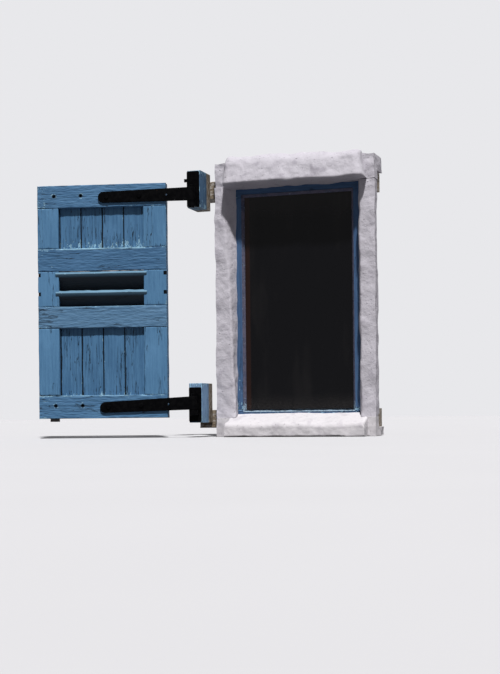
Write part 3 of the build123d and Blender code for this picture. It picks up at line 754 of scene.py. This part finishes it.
strap = {
    "length": 300.0, "root": 43.0, "tip": 35.0, "thickness": 6.0, "rollRadius": 9.08, "rollTurn": 285.0,
    "hole": 79.0, "holeRadius": 3.5, "levels": {"Upper": (773.0, 4.0), "Lower": (109.0, 12.0)},
    "arris": 1.3, "dent": 0.45, "seed": 95,
}
tipRadius = strap["tip"] / 2
tipArc = tipRadius * (1 - np.cos(np.linspace(radians(12), pi / 2, 10)))
rollLength = radians(strap["rollTurn"]) * strap["rollRadius"]
straight = np.linspace(tipRadius, strap["length"], 90)
roll = strap["length"] + np.linspace(0, rollLength, 40)
strapHole = (strap["length"] - strap["hole"], 0.0, strap["holeRadius"])
strapAlong = np.concatenate([tipArc, straight, roll, holeStations(strapHole[0], strapHole[2])])
strapAlong = np.unique(np.round(strapAlong, 3))
strapAlong = strapAlong[np.concatenate([[True], np.diff(strapAlong) > 0.05])]
strapAcross = np.unique(np.concatenate([
    [-1, -0.985, -0.95, -0.9], np.linspace(-0.85, 0.85, 15), [0.9, 0.95, 0.985, 1],
    holeStations(0.0, strap["holeRadius"] / (strap["root"] / 2)),
]))


# on a strap a is the distance from the tip, l from -1 to 1 over the height

def strapHalf(a):
    # half height: round at the tip, then a straight taper to the root
    share = np.clip((a - tipRadius) / strap["length"], 0, 1)
    taper = tipRadius + (strap["root"] - strap["tip"]) / 2 * share
    return np.where(a < tipRadius, np.sqrt(np.maximum(tipRadius ** 2 - (tipRadius - a) ** 2, 0)), taper)


def strapFace(a, l, sign):
    # half the thickness - quarter-round at the arris + hammer dents, the last on the flat only
    edge = np.minimum((1 - np.abs(l)) * strapHalf(a), a + 0.6)
    dent = layeredNoise(a / 14, l * 1.6, 0 * a, strap["seed"], 3) * strap["dent"]
    height = strap["thickness"] / 2 - bullnose(edge, strap["arris"]) * 0.9
    return sign * (height + dent * (a < strap["length"] - 4))


for side, (level, drop) in strap["levels"].items():
    points, faces = slab(
        strapAlong, strapAcross, lambda a, l: strapFace(a, l, 1), lambda a, l: strapFace(a, l, -1), 3,
        lambda a, l: inHoles(a, l * strapHalf(a), [strapHole]),
    )
    a, l, h = points.T.copy()
    a, l, h = snapToHoles(np.stack([a, l * strapHalf(a), h], -1), [strapHole]).T
    angle = np.clip(a - strap["length"], 0, None) / strap["rollRadius"]
    reach = strap["rollRadius"] + h
    leafX = np.where(angle > 0, reach * np.sin(angle), a - strap["length"])
    leafH = np.where(angle > 0, reach * np.cos(angle), reach)
    # the flat drops towards its tip, the rolled root stays upright
    fall = drop * np.clip(strap["length"] - a, 0, None) / strap["length"]
    points = onLeaf(np.stack([leafX, level + l - fall, leafH], -1))
    addPiece("strap" + side, points, faces, finishes["iron"], "shutter", ["strap_" + side.lower()])
print("slats and straps made")


# Window timbers and hinge blocks, facing the viewer: a to the right, l up, h out of the wall

def onWall(points):
    return placed(points, (0, 0, 0), (1, 0, 0), (0, 0, 1), (0, -1, 0))


timbers = {
    "sightX": 178.0, "low": 86.0, "high": 773.0, "member": 58.0, "rebate": 8.0,
    "front": -40.0, "glassBack": -56.0, "back": -110.0, "hornLeft": -335.0, "hornRight": 256.0,
    "paintEdge": 206.0, "paintBack": -62.0,
}
rebateX = timbers["sightX"] + timbers["rebate"]


def rebated(points, inside):
    # the front steps back to the glass line inside the rebate
    stepped = inside & (np.abs(points[:, 0]) < rebateX - 0.05) & (points[:, 2] > timbers["glassBack"])
    points[stepped, 2] = timbers["glassBack"]
    return points


def rawMark(points):
    # bare beyond the paint: under the plaster and on the room's side
    covered = np.clip((np.abs(points[:, 0]) - timbers["paintEdge"]) / 5, 0, 1)
    return np.maximum(covered, np.clip((timbers["paintBack"] - points[:, 2]) / 6, 0, 1))


jambs = {"seed": 100, "wear": 0.55, "wearTop": 330.0, "wearReach": 160.0}
for side, name in ((-1, "left"), (1, "right")):
    inner, outer = timbers["sightX"], timbers["sightX"] + timbers["member"]
    a0, a1 = (inner, outer) if side > 0 else (-outer, -inner)
    points, faces, marks = plank(
        a0, a1, timbers["low"], timbers["high"], timbers["front"], timbers["back"], False,
        jambs["seed"] + side, (2.6, 3.2), 0.8, 10, extraA=[side * rebateX, side * (rebateX - 0.1)],
        wornEnds=(0.9, 0.0),
    )
    points = rebated(points, True)
    lowPart = np.clip((jambs["wearTop"] - points[:, 1]) / jambs["wearReach"], 0, 1)
    marks["worn"] += jambs["wear"] * lowPart * (side < 0)
    marks["raw"] = rawMark(points)
    addPiece("jamb" + name.capitalize(), onWall(points), faces, finishes["frame"], "window",
             ["jamb_" + name], marks)

members = {
    "frameHead": {"node": "frame_head", "low": 773.0, "high": 831.0, "rebate": 773.0, "seed": 111, "worn": 0},
    "frameBottom": {"node": "frame_bottom", "low": 28.0, "high": 86.0, "rebate": 78.0, "seed": 112,
                    "worn": 1.1},
}
for name, member in members.items():
    rebateLow, rebateHigh = member["rebate"], member["rebate"] + timbers["rebate"]
    points, faces, marks = plank(
        timbers["hornLeft"], timbers["hornRight"], member["low"], member["high"], timbers["front"],
        timbers["back"], True, member["seed"], (4.0, 2.4), 0.8, 10, wornEnds=(0.0, member["worn"]),
        extraA=[-rebateX, -rebateX + 0.1, rebateX - 0.1, rebateX], extraL=[rebateLow + 0.1, rebateHigh - 0.1],
    )
    points = rebated(points, (points[:, 1] > rebateLow - 0.2) & (points[:, 1] < rebateHigh - 0.05))
    marks["raw"] = rawMark(points)
    addPiece(name, onWall(points), faces, finishes["frame"], "window", [member["node"]], marks)

blocks = {
    "width": 44.0, "front": 60.0, "back": -40.0, "rounding": 3.5,
    "spans": {"Upper": (734.0, 852.0, 126), "Lower": (46.0, 172.0, 125)},
}
for name, (low, high, seed) in blocks["spans"].items():
    points, faces, marks = plank(
        shutter["pinX"] - blocks["width"] / 2, shutter["pinX"] + blocks["width"] / 2, low, high,
        blocks["front"], blocks["back"], False, seed, (2.2, 2.6), rows=34, rounding=blocks["rounding"],
        wornEnds=(0.8, 0.8),
    )
    marks["raw"] = np.clip(-points[:, 2] / 6, 0, 1)
    addPiece("hingeBlock" + name, onWall(points), faces, finishes["block" + name], "window",
             ["hinge_block_" + name.lower()], marks)
print("window timbers made")

# Glazing putty: a triangular fillet carried round the rectangle of the rebate, mitred at its corners

putty = {"front": -41.0, "glass": -52.0, "lip": 1.0, "seed": 131, "sideSteps": (120, 210, 120, 210)}
t = np.linspace(0, 1, 9)
slopeFoot = putty["glass"] + 0.6
slopeHeight = slopeFoot + t ** 0.85 * (putty["front"] - slopeFoot)
# closed, its points (out from the sight line, height)
profile = np.concatenate([
    np.stack([t * (timbers["rebate"] - putty["lip"]), slopeHeight], -1),
    [[timbers["rebate"], putty["front"]], [timbers["rebate"], putty["glass"]], [0.0, putty["glass"]]],
])
corners = np.array([[-1, -1], [1, -1], [1, 1], [-1, 1]], float)
ring = []
for side, count in enumerate(putty["sideSteps"]):
    share = np.arange(count)[:, None] / count
    ring.append(corners[side] * (1 - share) + corners[(side + 1) % 4] * share)
ring = np.concatenate(ring)
out, height = profile[None, :, 0], profile[None, :, 1]
x = ring[:, 0:1] * (timbers["sightX"] + out)
z = (timbers["high"] + timbers["low"]) / 2 + ring[:, 1:2] * ((timbers["high"] - timbers["low"]) / 2 + out)
# lumps grow and the putty sinks a little at the foot
loose = layeredNoise(x / 16, z / 16, 0 * x, putty["seed"], 3)
foot = np.clip(1 - (z - timbers["low"]) / 14, 0, 1)
h = height + 0 * x + np.where(height > putty["glass"] + 0.1, loose * (1.0 + 2.2 * foot) - 0.5 * foot, 0)
points = np.stack([x, z, h], -1).reshape(-1, 3)
index = np.arange(x.size).reshape(x.shape)
nextRing, nextProfile = np.roll(index, -1, 0), np.roll(index, -1, 1)
faces = np.stack([index, nextProfile, np.roll(nextRing, -1, 1), nextRing], -1).reshape(-1, 4)
marks = {"worn": np.clip(1 - (points[:, 1] - timbers["low"]) / 30, 0, 1)}
addPiece("puttyFillet", onWall(points), faces, finishes["putty"], "window", ["glazing_putty"], marks)

# Plaster: each form is a slab in the wall's axes, then pushed about by slow and fine noise

plasterForm = {"slow": 5.4, "fine": 1.5, "slowSize": 50.0, "fineSize": 17.0, "half": 262.0}


def trowelled(points, seed, amount=1.0):
    # each coordinate is moved by its own noise, so walls and faces are equally lumpy
    x, y, z = points.T / plasterForm["slowSize"]
    u, v, w = points.T / plasterForm["fineSize"]
    shift = [
        layeredNoise(x, y, z, seed + k, 2) * plasterForm["slow"]
        + layeredNoise(u, v, w, seed + 7 + k, 2) * plasterForm["fine"]
        for k in range(3)
    ]
    return points + amount * np.stack(shift, -1)


# the sill is drawn in plan: a to the right, l into the wall, h up
sillForm = {"left": -219.0, "right": 236.0, "nose": 60.0, "front": 39.0, "rise": 0.33, "round": 11.0,
            "sideRound": 7.0, "footRound": 4.0, "seed": 200}


def sillTop(x, y):
    return sillForm["front"] + sillForm["rise"] * (y + sillForm["nose"])


def noseTop(x, y):
    # the nose dips 2 mm into the body once it is behind the wall's face
    side = np.minimum(x - sillForm["left"], sillForm["right"] - x)
    rounded = bullnose(y + sillForm["nose"], sillForm["round"]) + bullnose(side, sillForm["sideRound"])
    return sillTop(x, y) - rounded - np.where(y > 0.5, 2.0, 0)


sillNose = slab(
    stations(sillForm["left"], sillForm["right"], 3.2, 6.0), stations(-sillForm["nose"], 6.0, 3.2, 6.0),
    noseTop, lambda x, y: bullnose(y + sillForm["nose"], sillForm["footRound"]), 12,
)
bodyAcross = stations(-plasterForm["half"], plasterForm["half"], 4.0, 3.0)
frameFront = -timbers["front"]
sillBody = slab(
    bodyAcross, stations(0, -timbers["back"], 4.0, 2.0, [frameFront, frameFront + 0.1]),
    lambda x, y: np.where(y > frameFront + 0.05, members["frameBottom"]["low"], sillTop(x, y)),
    lambda x, y: 0 * x, 12,
)
points, faces = joined(sillNose, sillBody)
points = trowelled(points, sillForm["seed"])
points[:, 2] = np.maximum(points[:, 2], 0.0)
addPiece("plasterSill", points, faces, finishes["sillPlaster"], "window", ["sill"], sharp=60)

# the tail carries the hood's crest back behind the wall's face; below tailFoot it is cut to a stub
hoodForm = {
    "left": -222.0, "right": 238.0, "low": 800.0, "high": 887.0, "leftRise": 12.0, "nose": 60.0, "lean": 20.0,
    "leftLean": 6.0, "rightLean": 18.0, "topRound": 30.0, "footRound": 9.0, "sideRound": 22.0,
    "tail": 46.0, "tailFoot": 836.0, "tailStub": -4.0, "bodyHigh": 880.0, "sag": 9.0, "sagSize": 70.0,
    "seed": 240, "sagSeed": 230, "trowel": 1.15,
}


def hoodFront(x, z):
    share = (z - hoodForm["low"]) / (hoodForm["high"] - hoodForm["low"])
    face = hoodForm["nose"] - hoodForm["lean"] * share
    face = face - bullnose(hoodForm["high"] - z, hoodForm["topRound"])
    face = face - bullnose(z - hoodForm["low"], hoodForm["footRound"])
    side = np.minimum(x - hoodForm["left"], hoodForm["right"] - x)
    # both roundings meet in a soft corner
    return np.maximum(face - bullnose(side, hoodForm["sideRound"]), 2.0)


points, faces = slab(
    stations(hoodForm["left"], hoodForm["right"], 3.2, 8.0),
    stations(hoodForm["low"], hoodForm["high"], 3.2, 8.0),
    hoodFront, lambda x, z: -hoodForm["tail"] + 0 * x, 20,
)
share = (points[:, 1] - hoodForm["low"]) / (hoodForm["high"] - hoodForm["low"])
position = (points[:, 0] - hoodForm["left"]) / (hoodForm["right"] - hoodForm["left"])
points[:, 0] += share * (hoodForm["leftLean"] * (1 - position) - hoodForm["rightLean"] * position)
sag = layeredNoise(points[:, 0] / hoodForm["sagSize"], 0 * share, 0 * share, hoodForm["sagSeed"], 2)
lowPart = points[:, 1] < hoodForm["tailFoot"]
points[lowPart, 2] = np.maximum(points[lowPart, 2], hoodForm["tailStub"])
points[:, 1] += share * (sag * hoodForm["sag"] + hoodForm["leftRise"] * (1 - position))
# behind the wall's face the crest falls to just under the body's top: z - (z - top) * eased depth
depth = np.clip((12 - points[:, 2]) / (hoodForm["tail"] + 8), 0, 1)
above = np.maximum(points[:, 1] - (hoodForm["bodyHigh"] - 3), 0)
points[:, 1] -= above * depth ** 1.3
hoodNose = (onWall(points), faces)
headTop = members["frameHead"]["high"]
points, faces = slab(
    bodyAcross, stations(hoodForm["low"], hoodForm["bodyHigh"], 4.0, 3.0, [headTop, headTop + 0.1]),
    lambda x, z: 0 * x, lambda x, z: np.where(z > headTop + 0.05, timbers["back"], timbers["front"]), 12,
)
points, faces = joined(hoodNose, (onWall(points), faces))
points = trowelled(points, hoodForm["seed"], hoodForm["trowel"])
addPiece("plasterHood", points, faces, finishes["plaster"], "window", ["hood"], sharp=60)

# splay: how much wider the opening is at the wall's face, at the foot and at the head
reveals = {
    "half": 203.0, "low": 39.0, "high": 800.0, "depth": 40.0, "round": 7.0, "curve": 1.6, "seed": 250,
    "trowel": 0.8, "splays": {"left": (-1, -4.0, 34.0), "right": (1, 10.0, 10.0)},
}
sillLine = sillForm["front"] + sillForm["rise"] * sillForm["nose"]
for name, (side, splayLow, splayHigh) in reveals["splays"].items():
    inner, outer = side * reveals["half"], side * plasterForm["half"]
    points, faces = slab(
        stations(min(inner, outer), max(inner, outer), 3.4, 7.0),
        stations(sillLine - 1.0, reveals["high"] + 1.0, 3.6, 2.0),
        lambda x, z: -bullnose(np.abs(x - inner), reveals["round"]),
        lambda x, z: -reveals["depth"] + 0 * x, 10,
    )
    share = (points[:, 1] - reveals["low"]) / (reveals["high"] - reveals["low"])
    splay = splayLow + (splayHigh - splayLow) * np.clip(share, 0, 1) ** reveals["curve"]
    forward = 1 + points[:, 2] / reveals["depth"]
    inward = 1 - np.abs(points[:, 0] - inner) / (plasterForm["half"] - reveals["half"])
    points[:, 0] += side * splay * forward * inward
    # the foot follows the sill's slope
    foot = np.clip(1 - (points[:, 1] - sillLine) / 40, 0, 1)
    points[:, 1] += foot * -points[:, 2] * sillForm["rise"]
    points = trowelled(onWall(points), reveals["seed"] + side, reveals["trowel"])
    addPiece("reveal" + name.capitalize(), points, faces, finishes["plaster"], "window", ["reveal_" + name],
             sharp=60)
print("putty and plaster made")

# CAD pieces that keep their own shape

keptFinishes = {
    "iron": ("hinge_plate_upper", "hinge_plate_lower", "hinge_pin_upper", "hinge_pin_lower", "strap_bolts",
             "plate_screws"),
    "fastener": ("nails", "block_bolts"),
    "lining": ("lining_left", "lining_right", "lining_head", "window_board"),
    "raw": ("frame_pegs",),
    # the stop block gets the near-black timber of painted shade
    "dark": ("stop_block",),
    "glass": ("glass_pane",),
}
for finish, names in keptFinishes.items():
    for name in names:
        nodes[name].data.materials.clear()
        nodes[name].data.materials.append(finishes[finish])

# Floor, light and camera

# pale and floor are what the camera sees, fill and floorDark what lights the object
stage = {
    "floor": (192, 191, 193), "floorGrit": (189, 188, 190), "floorDark": (96, 95, 98), "floorSize": 30,
    "floorDrop": 0.001, "pale": (232, 232, 235), "fill": (0.17, 0.17, 0.1768), "sunPower": 5.0,
    "sunSoftness": 3.5, "sunWay": (-0.48, 1.0, -1.8),
}
bpy.ops.mesh.primitive_plane_add(size=stage["floorSize"], location=(0, 0, -stage["floorDrop"]))
floor = bpy.context.object
floor.name = "floor"
f = newFinish("floor")
grit = f.noise(f.place(), 3.0, 2.0)
seenFloor = f.blend(shade(*stage["floor"]), shade(*stage["floorGrit"]), grit)
floorColour = f.blend(shade(*stage["floorDark"]), seenFloor, f.seenDirectly())
floor.data.materials.append(f.finished({"Base Color": floorColour, "Roughness": 0.9}))
floor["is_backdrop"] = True

world = bpy.data.worlds.new("studio")
scene.world = world
f = Finish(world)
sky = f.blend(stage["fill"], shade(*stage["pale"]), f.seenDirectly())
background = f.node("ShaderNodeBackground", {}, {"Color": sky})
f.node("ShaderNodeOutputWorld", {}, {"Surface": background})

sun = bpy.data.objects.new("sun", bpy.data.lights.new("sun", "SUN"))
sun.data.energy = stage["sunPower"]
sun.data.angle = radians(stage["sunSoftness"])
sun.rotation_euler = Vector(stage["sunWay"]).to_track_quat("-Z", "Y").to_euler()
scene.collection.objects.link(sun)

# the photo's camera: metres and degrees, with shiftY as a share of the picture's height
view = {
    "lens": 68.37, "sensor": 36, "shiftY": 76 / 674, "place": (1.1157, -3.8955, 0.075), "yaw": 18.0,
    "roll": 0.6,
}
camera = bpy.data.objects.new("camera", bpy.data.cameras.new("camera"))
camera.data.lens = view["lens"]
camera.data.sensor_width = view["sensor"]
camera.data.shift_y = view["shiftY"]
camera.location = view["place"]
yaw, roll = radians(view["yaw"]), radians(view["roll"])
camera.rotation_mode = "QUATERNION"
aim = Vector((-sin(yaw), cos(yaw), 0)).to_track_quat("-Z", "Y")
camera.rotation_quaternion = aim @ Euler((0, 0, -roll)).to_quaternion()
scene.collection.objects.link(camera)
scene.camera = camera
scene.view_settings.view_transform = "Standard"

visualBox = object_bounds()
for name, box in (("cad", cadBox), ("visual", visualBox)):
    print(name, [tuple(round(v, 4) for v in corner) for corner in box])
